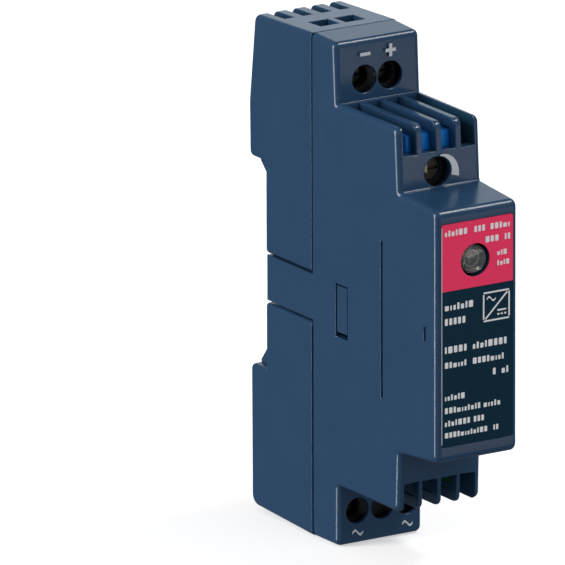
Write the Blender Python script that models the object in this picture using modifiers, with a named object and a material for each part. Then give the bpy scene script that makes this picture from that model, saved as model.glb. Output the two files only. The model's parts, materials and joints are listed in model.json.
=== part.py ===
"""DIN rail power supply, one module wide, as an assembly of separate pieces.

Run with: blender --background --python part.py
Every number below is in millimetres; the helpers turn them into metres.
The origin is the middle of the rail seat: X runs along the rail, -Y is the front, +Z is up.
"""

import math

import bmesh
import bpy
from mathutils import Matrix, Vector

MM = 0.001

# Driving dimensions
HALF_WIDTH = 8.75           # the case is 17.5 wide where it meets its neighbours
HALF_HEIGHT = 45.25         # top and bottom of the case at the seam
SEAM_Y = -15.2              # joint between the front cover and the two rear mouldings
SEAM_GAP = 0.2
LATCH_SEAM_GAP = 0.32       # the latch has to slide
DRAFT = 0.012               # how much each flank leans in for each mm forward of the seam
FRONT_Y = -54.1             # front face of the middle block
GRILLE_Y = -42.5            # front face of the middle step
TERMINAL_Y = -23.1          # front face of the terminal steps
GRILLE_TOP = 34.2
TERMINAL_TOP_FRONT = 44.95
BLOCK_TOP, BLOCK_BOTTOM = 22.05, -22.7
REAR_Y = 5.1                # rearmost face of the case
WALL = 1.3
GRILLE_WALL = 1.9
RIM_RADIUS = 0.6            # rounding along the case's long edges
ACROSS = (-12, 12)          # wider than the case, for cuts right through it

# Rail seat, for a 35 mm top-hat rail
SHOULDER = 18.7             # flank shoulders above and below the rail
RAIL_EDGE = 17.7            # ledge that the rail's edge rests against
FLANGE_GAP = 1.35           # room for the rail's flange, front to back
HOOK_HALF_WIDTH = 6.6
LATCH_TRAVEL = 3.4

# Middle band of the flanks, where the cover reaches back to the rail
BAND_TOP, BAND_BOTTOM = 2.1, -6.1
BAND_GAP = 0.25
LATCH_TOP = -6.6
BAND_REAR_Y = -0.57

# Snap windows in the flanks
WINDOW_Y = (-26.3, -22.6)
WINDOW_Z = (-7.3, 2.2)

# Terminals: pole centres across the case, and the height of their screws
OUTPUT_POLES = {"minus": -2.85, "plus": 2.35}
INPUT_POLES = {"n": -4.7, "l": 5.55}
INPUT_SPARE = 0.42
OUTPUT_Z, INPUT_Z = 37.9, -39.2
OUTPUT_HOLE_RADIUS, INPUT_HOLE_RADIUS = 2.45, 2.3
WIRE_Y = (-12.0, -7.9)
WIRE_HALF_WIDTH = 1.95
TERMINAL_FRONT, TERMINAL_BACK = -20.7, -5.6
TERMINAL_Z = (33.0, 43.3)   # inner and outer end of each terminal housing, above and below
CHAMBER_Y = (-16.5, -7.0)
CONTACT_Y = (-12.9, -12.3)
CHAMBER_HALF_WIDTH, CAGE_HALF_WIDTH = 1.75, 1.6
CAGE_OPENING_HALF_WIDTH = 1.15
SCREW_RADIUS, NUT_RADIUS, SHAFT_RADIUS = 1.0, 1.1, 1.35
HEAD_RADIUS, FUNNEL_RADIUS = 1.7, 2.0

# Lap flanges of the latch: they stay clear of the input terminals when the latch is down.
LATCH_LAP_Z = (-TERMINAL_Z[0] + LATCH_TRAVEL + 0.4, -12)

# Grilles
TOP_SLOT_PITCH, TOP_SLOT_WIDTH = 3.97, 2.65
BOTTOM_SLOT_PITCH, BOTTOM_SLOT_WIDTH = 3.85, 3.05
REAR_SLOT_PITCH, REAR_SLOT_WIDTH = 3.8, 1.95
SLOTS = 4                   # in each row
TOP_SLOT_Z = (29.15, 37)
BOTTOM_SLOT_Z = (-37, -29.4)

# Front panel
LABEL_HALF_WIDTH = 7.35
LABEL_Z = (-19.9, 19.8)
LABEL_CORNER = 0.5
LABEL_RECESS = 0.25
LABEL_THICKNESS = 0.18
LED_X, LED_Z, LED_HOLE_RADIUS, LED_RADIUS = -0.4, 12.65, 2.95, 2.5
LED_DOME, LED_FLANGE_RADIUS = 0.4, 2.85
TRIMMER_X, TRIMMER_Z, TRIMMER_HOLE_RADIUS = -0.5, 25.55, 2.6

# Pocket in each flank, deepest at its rear end, where a fingernail lifts the front
POCKET_Y = (-51.6, -50.0)
POCKET_Z = (-1.5, 1.0)
POCKET_DEPTH = 0.35

# Slit along each flank, behind the block
SLIT_Y = (-37.25, -36.75)
SLIT_Z = (-14.9, 13.2)

# Reach of the cuts through the three front walls
TERMINAL_CUT_Y = (-25, -18)
GRILLE_CUT_Y = (-46, -38)
BLOCK_CUT_Y = (-56, -50)

# Circuit board
BOARD_X = (4.3, 5.9)
PART_X = BOARD_X[0] - 0.2   # where the parts on the board begin
GAP = 0.05

PARTS, CUTTERS = None, None


# ---------------------------------------------------------------- helpers


def clear_scene():
    for obj in list(bpy.data.objects):
        bpy.data.objects.remove(obj)


def new_collection(name):
    made = bpy.data.collections.new(name)
    bpy.context.scene.collection.children.link(made)
    return made


def material(name, colour, roughness, metallic=0.0):
    made = bpy.data.materials.get(name)
    if made:
        return made
    made = bpy.data.materials.new(name)
    made.use_nodes = True
    made.diffuse_color = (*colour, 1.0)
    shader = made.node_tree.nodes["Principled BSDF"]
    shader.inputs["Base Color"].default_value = (*colour, 1.0)
    shader.inputs["Roughness"].default_value = roughness
    shader.inputs["Metallic"].default_value = metallic
    return made


MATERIALS = {
    "case": ((0.035, 0.075, 0.16), 0.38, 0.0),
    "label": ((0.006, 0.018, 0.045), 0.35, 0.0),
    "steel": ((0.62, 0.62, 0.60), 0.3, 1.0),
    "brass": ((0.75, 0.55, 0.28), 0.3, 1.0),
    "tin": ((0.72, 0.72, 0.70), 0.3, 1.0),
    "terminal": ((0.02, 0.02, 0.022), 0.5, 0.0),
    "board": ((0.01, 0.12, 0.05), 0.45, 0.0),
    "lens": ((0.55, 0.60, 0.56), 0.08, 0.0),
    "trimmer": ((0.01, 0.12, 0.50), 0.35, 0.0),
    "rotor": ((0.75, 0.74, 0.70), 0.45, 0.0),
    "ferrite": ((0.05, 0.05, 0.055), 0.6, 0.0),
    "bobbin": ((0.03, 0.03, 0.03), 0.5, 0.0),
    "tape": ((0.75, 0.55, 0.06), 0.5, 0.0),
    "sleeve_black": ((0.015, 0.015, 0.02), 0.35, 0.0),
    "sleeve_blue": ((0.015, 0.10, 0.42), 0.35, 0.0),
    "film": ((0.62, 0.60, 0.52), 0.45, 0.0),
    "disc_blue": ((0.02, 0.16, 0.48), 0.4, 0.0),
    "copper": ((0.75, 0.30, 0.12), 0.3, 1.0),
    "epoxy": ((0.02, 0.02, 0.02), 0.4, 0.0),
}


def joined_mesh(bm, name):
    bmesh.ops.recalc_face_normals(bm, faces=bm.faces)
    mesh = bpy.data.meshes.new(name)
    bm.to_mesh(mesh)
    bm.free()
    return mesh


def place(name, mesh, collection):
    obj = bpy.data.objects.new(name, mesh)
    collection.objects.link(obj)
    return obj


def as_part(obj, name, finish, smooth=False):
    """Makes a helper the named part that it stands for."""
    for old in list(obj.users_collection):
        old.objects.unlink(obj)
    PARTS.objects.link(obj)
    obj.name = name
    obj.hide_render = False
    obj.display_type = "TEXTURED"
    obj.data.materials.append(material(finish, *MATERIALS[finish]))
    if smooth:
        obj.data.shade_smooth()
        obj.data.set_sharp_from_angle(angle=math.radians(35))
    return obj


def helper(name, bm):
    """A cutter, or a shape that a part is joined with: it is never a part itself."""
    obj = place(name, joined_mesh(bm, name), CUTTERS)
    obj.hide_render = True
    obj.display_type = "WIRE"
    return obj


def box(name, x, y, z):
    """A box between pairs of coordinates."""
    bm = bmesh.new()
    bmesh.ops.create_cube(bm, size=1.0)
    low = Vector((min(x), min(y), min(z))) * MM
    high = Vector((max(x), max(y), max(z))) * MM
    middle, size = (low + high) / 2, high - low
    bmesh.ops.transform(
        bm, matrix=Matrix.Translation(middle) @ Matrix.Diagonal((*size, 1.0)), verts=bm.verts
    )
    return helper(name, bm)


def rod(name, centre, radius, span, axis="Y", segments=24, end_radius=None):
    """A cylinder or cone along an axis. centre is the other two coordinates, in X, Y, Z order."""
    bm = bmesh.new()
    bmesh.ops.create_cone(
        bm,
        cap_ends=True,
        segments=segments,
        radius1=radius * MM,
        radius2=(radius if end_radius is None else end_radius) * MM,
        depth=abs(span[1] - span[0]) * MM,
    )
    turn = {
        "X": Matrix.Rotation(math.radians(90), 4, "Y"),
        "Y": Matrix.Rotation(math.radians(-90), 4, "X"),
        "Z": Matrix.Identity(4),
    }[axis]
    middle = list(centre)
    middle.insert("XYZ".index(axis), sum(span) / 2)
    bmesh.ops.transform(
        bm, matrix=Matrix.Translation(Vector(middle) * MM) @ turn, verts=bm.verts
    )
    return helper(name, bm)


def rounded(corners, steps=4):
    """The outline through corners (a, b, radius); a corner with a radius becomes an arc."""
    outline = []
    for i, (a, b, radius) in enumerate(corners):
        here = Vector((a, b))
        if radius == 0:
            outline.append((a, b))
            continue
        before = (Vector(corners[i - 1][:2]) - here).normalized()
        after = (Vector(corners[(i + 1) % len(corners)][:2]) - here).normalized()
        half = before.angle(after) / 2
        reach = radius / math.tan(half)
        centre = here + (before + after).normalized() * (radius / math.sin(half))
        start, stop = here + before * reach - centre, here + after * reach - centre
        sweep = start.angle(stop)
        for k in range(steps + 1):
            share = k / steps
            point = centre + (
                start * math.sin((1 - share) * sweep) + stop * math.sin(share * sweep)
            ) / math.sin(sweep)
            outline.append(tuple(point))
    return outline


def rounded_box_outline(a, b, radius):
    """A rectangle's outline with round corners, between pairs of coordinates."""
    return rounded(
        [(a[0], b[0], radius), (a[1], b[0], radius), (a[1], b[1], radius), (a[0], b[1], radius)]
    )


# How an outline's first, second and thickness directions lie in space
PLANES = {
    "X": Matrix(((0, 0, 1), (1, 0, 0), (0, 1, 0))),
    "Y": Matrix(((1, 0, 0), (0, 0, -1), (0, 1, 0))),
    "Z": Matrix(((1, 0, 0), (0, 1, 0), (0, 0, 1))),
}


def curve_bmesh(name, curve):
    """A curve's surface as one closed mesh."""
    shape = place(name + "_curve", curve, CUTTERS)
    bpy.context.view_layer.update()
    graph = bpy.context.evaluated_depsgraph_get()
    mesh = bpy.data.meshes.new_from_object(shape.evaluated_get(graph))
    bpy.data.objects.remove(shape)
    bm = bmesh.new()
    bm.from_mesh(mesh)
    bpy.data.meshes.remove(mesh)
    bmesh.ops.remove_doubles(bm, verts=bm.verts, dist=1e-6)
    return bm


def prism(name, outline, span, axis="X"):
    """An outline in the plane across the axis, given thickness along it."""
    curve = bpy.data.curves.new(name, "CURVE")
    curve.dimensions = "2D"
    curve.fill_mode = "BOTH"
    curve.extrude = abs(span[1] - span[0]) / 2 * MM
    spline = curve.splines.new("POLY")
    spline.points.add(len(outline) - 1)
    for point, (a, b) in zip(spline.points, outline):
        point.co = (a * MM, b * MM, 0, 1)
    spline.use_cyclic_u = True
    bm = curve_bmesh(name, curve)
    bmesh.ops.dissolve_limit(bm, angle_limit=0.002, verts=bm.verts, edges=bm.edges)
    shift = Vector((0, 0, 0))
    shift["XYZ".index(axis)] = sum(span) / 2 * MM
    bmesh.ops.transform(
        bm, matrix=Matrix.Translation(shift) @ PLANES[axis].to_4x4(), verts=bm.verts
    )
    return helper(name, bm)


def draft(obj):
    """Leans the flanks in towards the front, from the seam on."""
    bm = bmesh.new()
    bm.from_mesh(obj.data)
    bmesh.ops.bisect_plane(
        bm,
        geom=bm.verts[:] + bm.edges[:] + bm.faces[:],
        dist=1e-5,
        plane_co=(0, SEAM_Y * MM, 0),
        plane_no=(0, 1, 0),
    )
    for vertex in bm.verts:
        ahead = max(0.0, SEAM_Y * MM - vertex.co.y)
        vertex.co.x *= 1 - DRAFT * ahead / (HALF_WIDTH * MM)
    bm.to_mesh(obj.data)
    bm.free()
    return obj


def round_rims(obj, radius, segments=3):
    modifier = obj.modifiers.new("rounded_rims", "BEVEL")
    modifier.width = radius * MM
    modifier.segments = segments
    modifier.limit_method = "ANGLE"
    modifier.angle_limit = math.radians(40)
    return obj


def boolean(obj, other, operation):
    modifier = obj.modifiers.new(other.name, "BOOLEAN")
    modifier.operation = operation
    modifier.object = other
    modifier.solver = "EXACT"


def cut(obj, *cutters):
    for cutter in cutters:
        boolean(obj, cutter, "DIFFERENCE")
    return obj


def join(obj, *others):
    for other in others:
        boolean(obj, other, "UNION")
    return obj


def turned(name, profile, centre, span_start, finish, steps=16):
    """A turned piece along Y: profile is (radius, distance behind span_start), outer side first."""
    bm = bmesh.new()
    points = [bm.verts.new((r * MM, 0, -d * MM)) for r, d in profile]
    for a, b in zip(points, points[1:]):
        bm.edges.new((a, b))
    mesh = bpy.data.meshes.new(name)
    bm.to_mesh(mesh)
    bm.free()
    obj = place(name, mesh, PARTS)
    obj.rotation_euler = (math.radians(90), 0, 0)
    obj.location = Vector((centre[0], span_start, centre[1])) * MM
    screw = obj.modifiers.new("turned", "SCREW")
    screw.axis = "Z"
    screw.steps = screw.render_steps = steps
    screw.use_merge_vertices = True
    screw.merge_threshold = 1e-6
    obj.data.materials.append(material(finish, *MATERIALS[finish]))
    return obj


def coil(name, centre, radius, wire, z_span, turns, finish, per_turn=10):
    """A helical spring along Z."""
    curve = bpy.data.curves.new(name, "CURVE")
    curve.dimensions = "3D"
    curve.bevel_depth = wire / 2 * MM
    curve.bevel_resolution = 1
    curve.use_fill_caps = True
    count = turns * per_turn + 1
    spline = curve.splines.new("POLY")
    spline.points.add(count - 1)
    for k, point in enumerate(spline.points):
        angle = 2 * math.pi * k / per_turn
        height = z_span[0] + (z_span[1] - z_span[0]) * k / (count - 1)
        point.co = (
            (centre[0] + radius * math.cos(angle)) * MM,
            (centre[1] + radius * math.sin(angle)) * MM,
            height * MM,
            1,
        )
    return as_part(helper(name, curve_bmesh(name, curve)), name, finish, smooth=True)


def flank_pair(name, x, y, z):
    """The same box on both flanks."""
    return [box(f"{name}_{side}", [sign * v for v in x], y, z) for side, sign in (("r", 1), ("l", -1))]


def row(pitch, width):
    """The sides of each slot in a row of slots across the case."""
    centres = [pitch * (k - (SLOTS - 1) / 2) for k in range(SLOTS)]
    return [(x - width / 2, x + width / 2) for x in centres]


# ---------------------------------------------------------------- case


def shell(name, outline, hollow, inner_half_width):
    """A drafted, round-rimmed prism with a hollow inside, both given as outlines in Y and Z."""
    outer = round_rims(draft(prism(name, outline, (-HALF_WIDTH, HALF_WIDTH))), RIM_RADIUS)
    inner = draft(prism(name + "_hollow", hollow, (-inner_half_width, inner_half_width)))
    return cut(outer, inner)


def flank_pockets():
    """A wedge on each side, from nothing near the front edge to its full depth at the rear."""
    flank = HALF_WIDTH - DRAFT * (SEAM_Y - POCKET_Y[0])
    outline = [(flank, POCKET_Y[0]), (flank + 1, POCKET_Y[0]), (flank + 1, POCKET_Y[1]),
               (flank - POCKET_DEPTH, POCKET_Y[1])]
    return [
        prism(f"pocket_{side}", [(sign * x, y) for x, y in outline], POCKET_Z, "Z")
        for side, sign in (("r", 1), ("l", -1))
    ]


def front_cover():
    past_seam = 3.0
    outline = rounded([
        (past_seam, HALF_HEIGHT, 0),
        (SEAM_Y, HALF_HEIGHT, 0),
        (TERMINAL_Y + 0.6, TERMINAL_TOP_FRONT, 0.9),
        (TERMINAL_Y, GRILLE_TOP, 0.4),
        (GRILLE_Y + 0.7, GRILLE_TOP, 1.3),
        (GRILLE_Y, BLOCK_TOP + 0.85, 0.4),
        (FRONT_Y, BLOCK_TOP, 1.4),
        (FRONT_Y, BLOCK_BOTTOM, 1.4),
        (GRILLE_Y, BLOCK_BOTTOM - 1.1, 0.4),
        (GRILLE_Y + 0.4, -GRILLE_TOP - 0.2, 1.3),
        (TERMINAL_Y - 0.3, -GRILLE_TOP - 0.2, 0.4),
        (TERMINAL_Y - 0.2, -HALF_HEIGHT, 0.9),
        (SEAM_Y, -HALF_HEIGHT, 0),
        (past_seam, -HALF_HEIGHT, 0),
    ])
    grille_inner = GRILLE_Y + GRILLE_WALL
    terminal_inner = TERMINAL_Y + WALL
    hollow = [
        (past_seam + 1, HALF_HEIGHT - WALL - 0.1),
        (SEAM_Y, HALF_HEIGHT - WALL - 0.1),
        (terminal_inner + 0.3, HALF_HEIGHT - WALL - 0.4),
        (terminal_inner, GRILLE_TOP - GRILLE_WALL),
        (grille_inner + 0.5, GRILLE_TOP - GRILLE_WALL),
        (grille_inner, BLOCK_TOP - 0.6),
        (FRONT_Y + WALL + LABEL_RECESS, BLOCK_TOP - 1.4),
        (FRONT_Y + WALL + LABEL_RECESS, BLOCK_BOTTOM + 1.4),
        (grille_inner, BLOCK_BOTTOM + 0.5),
        (grille_inner + 0.3, -GRILLE_TOP + GRILLE_WALL - 0.2),
        (terminal_inner - 0.2, -GRILLE_TOP + GRILLE_WALL - 0.2),
        (terminal_inner - 0.1, -HALF_HEIGHT + WALL + 0.4),
        (SEAM_Y, -HALF_HEIGHT + WALL + 0.1),
        (past_seam + 1, -HALF_HEIGHT + WALL + 0.1),
    ]
    cover = shell("cover", outline, hollow, HALF_WIDTH - WALL)
    far = 60
    cut(
        cover,
        box("seam_above_band", ACROSS, (SEAM_Y - SEAM_GAP / 2, 10), (BAND_TOP, far)),
        box("seam_below_band", ACROSS, (SEAM_Y - LATCH_SEAM_GAP / 2, 10), (-far, BAND_BOTTOM)),
        box("band_end", ACROSS, (BAND_REAR_Y, 10), (-far, far)),
        box("snap_windows", ACROSS, WINDOW_Y, WINDOW_Z),
        *flank_pair("flank_slit", (7.9, 10), SLIT_Y, SLIT_Z),
        *flank_pockets(),
    )
    for pole, x in OUTPUT_POLES.items():
        cut(cover, rod(f"hole_{pole}", (x, OUTPUT_Z), OUTPUT_HOLE_RADIUS, TERMINAL_CUT_Y))
    for pole, x in [*INPUT_POLES.items(), ("spare", INPUT_SPARE)]:
        cut(cover, rod(f"hole_{pole}", (x, INPUT_Z), INPUT_HOLE_RADIUS, TERMINAL_CUT_Y))
    for k, sides in enumerate(row(TOP_SLOT_PITCH, TOP_SLOT_WIDTH)):
        cut(cover, box(f"slot_top_{k}", sides, (GRILLE_CUT_Y[0], TERMINAL_Y - 0.5), TOP_SLOT_Z))
    for k, sides in enumerate(row(BOTTOM_SLOT_PITCH, BOTTOM_SLOT_WIDTH)):
        cut(cover, box(f"slot_bottom_{k}", sides, (GRILLE_CUT_Y[0], TERMINAL_Y - 0.9), BOTTOM_SLOT_Z))
    label_outline = rounded_box_outline((-LABEL_HALF_WIDTH, LABEL_HALF_WIDTH), LABEL_Z, LABEL_CORNER)
    cut(
        cover,
        rod("hole_trimmer", (TRIMMER_X, TRIMMER_Z), TRIMMER_HOLE_RADIUS, GRILLE_CUT_Y),
        rod("hole_led", (LED_X, LED_Z), LED_HOLE_RADIUS, BLOCK_CUT_Y),
        prism("label_recess", label_outline, (BLOCK_CUT_Y[0], FRONT_Y + LABEL_RECESS), "Y"),
    )
    return as_part(cover, "front_cover", "case")


def hook(name, sign, nose_z, back_z):
    """The rail hook that reaches behind one edge of the rail, with the ledge that its edge rests on."""
    root = sign * (SHOULDER + 0.7)
    outline = [
        (FLANGE_GAP, root),
        (FLANGE_GAP, sign * (nose_z + 0.3)),
        (FLANGE_GAP + 0.5, sign * nose_z),
        (FLANGE_GAP + 1.2, sign * (nose_z + 0.6)),
        (REAR_Y - 0.4, sign * back_z),
        (REAR_Y - 0.4, root),
    ]
    across = (-HOOK_HALF_WIDTH, HOOK_HALF_WIDTH)
    ledge = (sign * RAIL_EDGE, root)
    return [
        prism(name + "_lip", outline, across),
        box(name + "_ledge", across, (-0.6, FLANGE_GAP + 0.3), ledge),
    ]


def rear_base():
    ahead = SEAM_Y - 5
    bottom = BAND_TOP + BAND_GAP
    outline = rounded([
        (ahead, HALF_HEIGHT, 0),
        (SEAM_Y, HALF_HEIGHT, 0),
        (REAR_Y - 1.8, HALF_HEIGHT - 0.7, 1.6),
        (REAR_Y + 0.15, 28.6, 0),
        (REAR_Y, SHOULDER, 0.9),
        (0, SHOULDER, 0.3),
        (0, bottom, 0),
        (ahead, bottom, 0),
    ])
    hollow = [
        (ahead - 1, HALF_HEIGHT - WALL - 0.1),
        (REAR_Y - 3.1, HALF_HEIGHT - WALL - 0.7),
        (REAR_Y - WALL, 28.6),
        (REAR_Y - WALL - 0.1, SHOULDER + 1.5),
        (-WALL, SHOULDER + 1.5),
        (-WALL, bottom - 2),
        (ahead - 1, bottom - 2),
    ]
    base = shell("base", outline, hollow, HALF_WIDTH - WALL)
    seam = SEAM_Y + SEAM_GAP / 2
    cut(base, box("base_seam", ACROSS, (ahead - 5, seam), (-60, 60)))
    # The rail seat's floor runs on between the two bands of the cover.
    join(base, box("seat_floor", (-7.1, 7.1), (-WALL + 0.1, -0.1), (BAND_BOTTOM + 0.1, bottom + 1)))
    join(base, *hook("base_hook", 1, 14.9, 17.6))
    # Snap arms, which lie inside the cover's flanks and end in a nose in each window.
    inner = (6.15, 7.15)
    for arm in flank_pair("snap_arm", inner, (WINDOW_Y[0] + 0.3, -0.6), (BAND_BOTTOM + 0.2, 1.8)):
        join(base, arm)
    for pad in flank_pair("arm_root", (inner[0], 7.9), (seam + 0.4, -0.6), (bottom + 0.3, 12)):
        join(base, pad)
    for web in flank_pair("arm_web", inner, (seam + 0.4, -0.6), (1.2, bottom + 1)):
        join(base, web)
    nose_y, nose_z = (WINDOW_Y[0] + 0.25, WINDOW_Y[1] - 0.25), (WINDOW_Z[0] + 0.9, WINDOW_Z[1] - 0.3)
    for nose in flank_pair("snap_nose", (inner[0], 8.5), nose_y, nose_z):
        join(base, nose)
    # Lap flanges behind the seam
    for lap in flank_pair("base_lap", (6.35, 7.15), (SEAM_Y - 3.3, SEAM_Y + 4), (14, 32)):
        join(base, lap)
    for pad in flank_pair("base_lap_root", (6.35, 7.9), (seam + 0.3, SEAM_Y + 4), (14, 32)):
        join(base, pad)
    # Anchor for the latch spring
    join(base, box("spring_anchor", (-1.6, 1.6), (-7.0, -0.6), (-4.4, -2.6)))
    for pole, x in OUTPUT_POLES.items():
        across = (x - WIRE_HALF_WIDTH, x + WIRE_HALF_WIDTH)
        cut(base, box(f"wire_{pole}", across, WIRE_Y, (42, 47)))
    for k, sides in enumerate(row(REAR_SLOT_PITCH, REAR_SLOT_WIDTH)):
        cut(base, box(f"rear_slot_{k}", sides, (-3.4, 8), (36, 48)))
    # A relief groove between the seat's middle and the pad that the rail's flange bears on
    cut(base, box("seat_relief", ACROSS, (-0.3, 0.8), (13.6, 14.1)))
    return as_part(base, "rear_base", "case")


def rail_latch():
    ahead = SEAM_Y - 5
    outline = rounded([
        (ahead, LATCH_TOP, 0),
        (0, LATCH_TOP, 0),
        (0, -SHOULDER, 0.3),
        (REAR_Y - 0.2, -SHOULDER, 0.9),
        (REAR_Y - 0.3, -HALF_HEIGHT + 0.95, 2.0),
        (SEAM_Y, -HALF_HEIGHT, 0),
        (ahead, -HALF_HEIGHT, 0),
    ])
    hollow = [
        (ahead - 1, LATCH_TOP + 2),
        (-WALL, LATCH_TOP + 2),
        (-WALL, -SHOULDER - 1.5),
        (REAR_Y - 0.2 - WALL, -SHOULDER - 1.5),
        (REAR_Y - 0.3 - WALL, -HALF_HEIGHT + 2.35),
        (SEAM_Y, -HALF_HEIGHT + WALL + 0.1),
        (ahead - 1, -HALF_HEIGHT + WALL + 0.1),
    ]
    latch = shell("latch", outline, hollow, HALF_WIDTH - WALL)
    seam = SEAM_Y + LATCH_SEAM_GAP / 2
    cut(latch, box("latch_seam", ACROSS, (ahead - 5, seam), (-60, 60)))
    join(latch, *hook("latch_hook", -1, 15.1, 18.4))
    # Lap flanges, which slide down inside the cover's flanks
    for lap in flank_pair("latch_lap", (6.35, 7.15), (SEAM_Y - 3.3, SEAM_Y + 4), LATCH_LAP_Z):
        join(latch, lap)
    for pad in flank_pair("latch_lap_root", (6.35, 7.9), (seam + 0.3, SEAM_Y + 4), LATCH_LAP_Z):
        join(latch, pad)
    join(latch, box("spring_hook", (-1.6, 1.6), (-7.0, -0.6), (-19.6, -17.8)))
    for pole, x in [*INPUT_POLES.items(), ("spare", INPUT_SPARE)]:
        across = (x - WIRE_HALF_WIDTH, x + WIRE_HALF_WIDTH)
        cut(latch, box(f"wire_{pole}", across, WIRE_Y, (-47, -42)))
    for k, sides in enumerate(row(REAR_SLOT_PITCH, REAR_SLOT_WIDTH)):
        cut(latch, box(f"floor_slot_{k}", sides, (-5.6, -1.4), (-47, -42)))
    cut(latch, box("release_slot", (-3.2, 3.2), (0.2, 2.2), (-47, -42)))
    return as_part(latch, "rail_latch", "case")


def front_label():
    inset = 0.05
    half = LABEL_HALF_WIDTH - inset
    back = FRONT_Y + LABEL_RECESS - GAP
    low, high = LABEL_Z[0] + inset, LABEL_Z[1] - inset
    outline = rounded_box_outline((-half, half), (low, high), LABEL_CORNER - inset)
    label = prism("label", outline, (back - LABEL_THICKNESS, back), "Y")
    cut(label, rod("label_led_hole", (LED_X, LED_Z), LED_HOLE_RADIUS, BLOCK_CUT_Y))
    return as_part(label, "front_label", "label")


# ---------------------------------------------------------------- terminals

def terminal_housing(name, poles, x, screw_z, side):
    """The insulating block: each pole has a screw funnel, and a clamp chamber open on the wire's side."""
    block = box(name, x, (TERMINAL_FRONT, TERMINAL_BACK), [side * z for z in TERMINAL_Z])
    half = CHAMBER_HALF_WIDTH
    for pole, at in poles.items():
        floor, outside = screw_z - side * 3.9, side * 46
        foot = screw_z - side * 3.8
        cut(
            block,
            rod(f"{name}_funnel_{pole}", (at, screw_z), FUNNEL_RADIUS, (-22, -17.5)),
            rod(f"{name}_shaft_{pole}", (at, screw_z), SHAFT_RADIUS, (-18, -16)),
            box(f"{name}_chamber_{pole}", (at - half, at + half), CHAMBER_Y, (floor, outside)),
            box(f"{name}_foot_{pole}", (at - 1.5, at + 1.5), (-7.5, -5), (foot, foot + side * 1.1)),
        )
    return as_part(block, name, "terminal")


def clamp_cage(name, at, screw_z):
    """A brass ring round the wire, whose thick front wall is the screw's nut."""
    across = (at - CAGE_HALF_WIDTH, at + CAGE_HALF_WIDTH)
    height = (screw_z - 2.6, screw_z + 2.6)
    opening = (at - CAGE_OPENING_HALF_WIDTH, at + CAGE_OPENING_HALF_WIDTH)
    cage = round_rims(box(name, across, (-14.3, -8.6), height), 0.3, 2)
    cut(
        cage,
        box(name + "_opening", opening, (-13.2, -9.3), (screw_z - 4, screw_z + 4)),
        rod(name + "_nut", (at, screw_z), NUT_RADIUS, (-15, -12.8), segments=16),
    )
    return as_part(cage, name, "brass")


def contact(name, at, screw_z, side):
    """The fixed bar in the cage, and the foot that takes it back to the carrier board."""
    across = (at - 0.95, at + 0.95)
    foot = screw_z - side * 3.6
    bar = box(name, across, CONTACT_Y, (foot, screw_z + side * 2.4))
    join(bar, box(name + "_foot", across, (CONTACT_Y[0], -5.5), (foot, foot + side * 0.6)))
    return as_part(bar, name, "tin")


def clamp_screw(name, at, screw_z):
    """A slotted pan-head screw, its head towards the front."""
    head, tip = -19.2, -13.0
    thickness, length, chamfer = 1.6, tip - head, 0.3
    profile = [
        (0, 0), (HEAD_RADIUS - chamfer, 0), (HEAD_RADIUS, chamfer), (HEAD_RADIUS, thickness),
        (SCREW_RADIUS, thickness), (SCREW_RADIUS, length - chamfer), (SCREW_RADIUS - chamfer, length),
        (0, length),
    ]
    screw = turned(name, profile, (at, screw_z), head, "steel")
    cut(screw, box_at_origin(name + "_slot", (5, 0.6, 1.4), (at, head, screw_z)))
    return screw


def box_at_origin(name, size, centre):
    """A box about a point."""
    return box(name, *[(c - s / 2, c + s / 2) for s, c in zip((size[0], size[2], size[1]), centre)])


def terminals():
    terminal_housing("output_terminal_housing", OUTPUT_POLES, (-5.3, 4.8), OUTPUT_Z, 1)
    terminal_housing("input_terminal_housing", INPUT_POLES, (-7.2, 7.2), INPUT_Z, -1)
    for group, poles, screw_z, side in (
        ("output", OUTPUT_POLES, OUTPUT_Z, 1),
        ("input", INPUT_POLES, INPUT_Z, -1),
    ):
        for pole, at in poles.items():
            clamp_cage(f"{group}_cage_{pole}", at, screw_z)
            contact(f"{group}_contact_{pole}", at, screw_z, side)
            clamp_screw(f"{group}_screw_{pole}", at, screw_z)


# ---------------------------------------------------------------- electronics


def boards():
    outline = [
        (-50.8, -19.4), (-50.8, 19.2), (-39.2, 19.8), (-39.2, 31.8), (-5.6, 31.8), (-5.6, 23.6),
        (-9.5, 21.0), (-9.5, -21.0), (-5.6, -23.6), (-5.6, -32.0), (-39.2, -32.0), (-39.2, -20.2),
    ]
    as_part(prism("board", outline, BOARD_X), "main_board", "board")
    for name, z in (("output_carrier_board", (23.4, 43.0)), ("input_carrier_board", (-43.0, -23.4))):
        as_part(box(name, (-7.0, 7.0), (-5.2, -3.6), z), name, "board")
    for name, z in (("output_header", (24.2, 31.2)), ("input_header", (-31.2, -24.2))):
        as_part(box(name, (PART_X - 2.5, PART_X), (-8.2, -5.7), z), name, "epoxy")


def capacitor(name, y, z, radius, finish):
    """An electrolytic lying along Z, with the crimp groove near its lower end."""
    x = PART_X - radius
    can = rod(name, (x, y), radius, z, "Z", 28)
    ring = rod(name + "_groove", (x, y), radius + 1, (z[0] + 1.2, z[0] + 2.0), "Z", 28)
    core = rod(name + "_core", (x, y), radius - 0.35, (z[0] + 1.0, z[0] + 2.2), "Z", 28)
    cut(can, cut(ring, core))
    return as_part(can, name, finish, smooth=True)


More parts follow.
